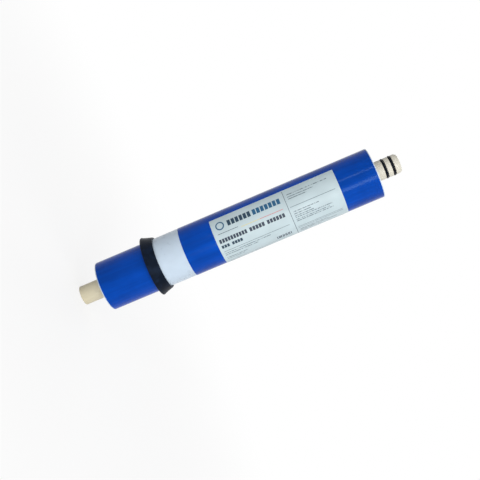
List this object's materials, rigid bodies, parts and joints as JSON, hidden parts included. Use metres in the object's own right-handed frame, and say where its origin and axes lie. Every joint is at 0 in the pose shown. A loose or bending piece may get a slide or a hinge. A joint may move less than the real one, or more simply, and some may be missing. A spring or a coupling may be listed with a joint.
{
  "type": "spiral-wound water filter element",
  "caption": "Spiral-wound water filter element: membrane leaves round a drilled centre tube, blue film wrap, black cup seal near one end and O-rings on the other end's spigot.",
  "frame": {"origin": "centre of the plain feed end of the centre tube, on which the element stands", "axes": "+Z along the centre tube, from the feed end to the product end with its O-rings; the label's middle faces between -Y and +X"},
  "size_m": [0.0536, 0.0536, 0.298],
  "materials": {
    "tube_plastic": "off-white moulded plastic, slightly cream",
    "plug_plastic": "pale yellowish moulded plastic",
    "ring_rubber": "black rubber with a dull sheen",
    "seal_rubber": "black rubber, smooth",
    "core_cloth": "white knitted polyester cloth",
    "core_tape_film": "clear tape that looks pale grey",
    "membrane": "white membrane over polyester cloth",
    "spacer_net": "natural plastic net, pale grey blue",
    "sleeve_white": "cool white film",
    "film_blue": "saturated blue film, glossy",
    "label_paper": "pale cool grey paper with lines and fields of colour"
  },
  "bodies": {
    "root": {"permeate_tube": "tube_plastic", "feed_end_plug": "plug_plastic", "o_ring_inner": "ring_rubber", "o_ring_outer": "ring_rubber", "core_wrap": "core_cloth", "core_tape": "core_tape_film", "membrane_leaf_a": "membrane", "membrane_leaf_b": "membrane", "feed_spacer_a": "spacer_net", "feed_spacer_b": "spacer_net", "roll_sleeve": "sleeve_white", "main_film_wrap": "film_blue", "feed_film_wrap": "film_blue", "brine_seal": "seal_rubber", "label": "label_paper"}
  },
  "joints": []
}
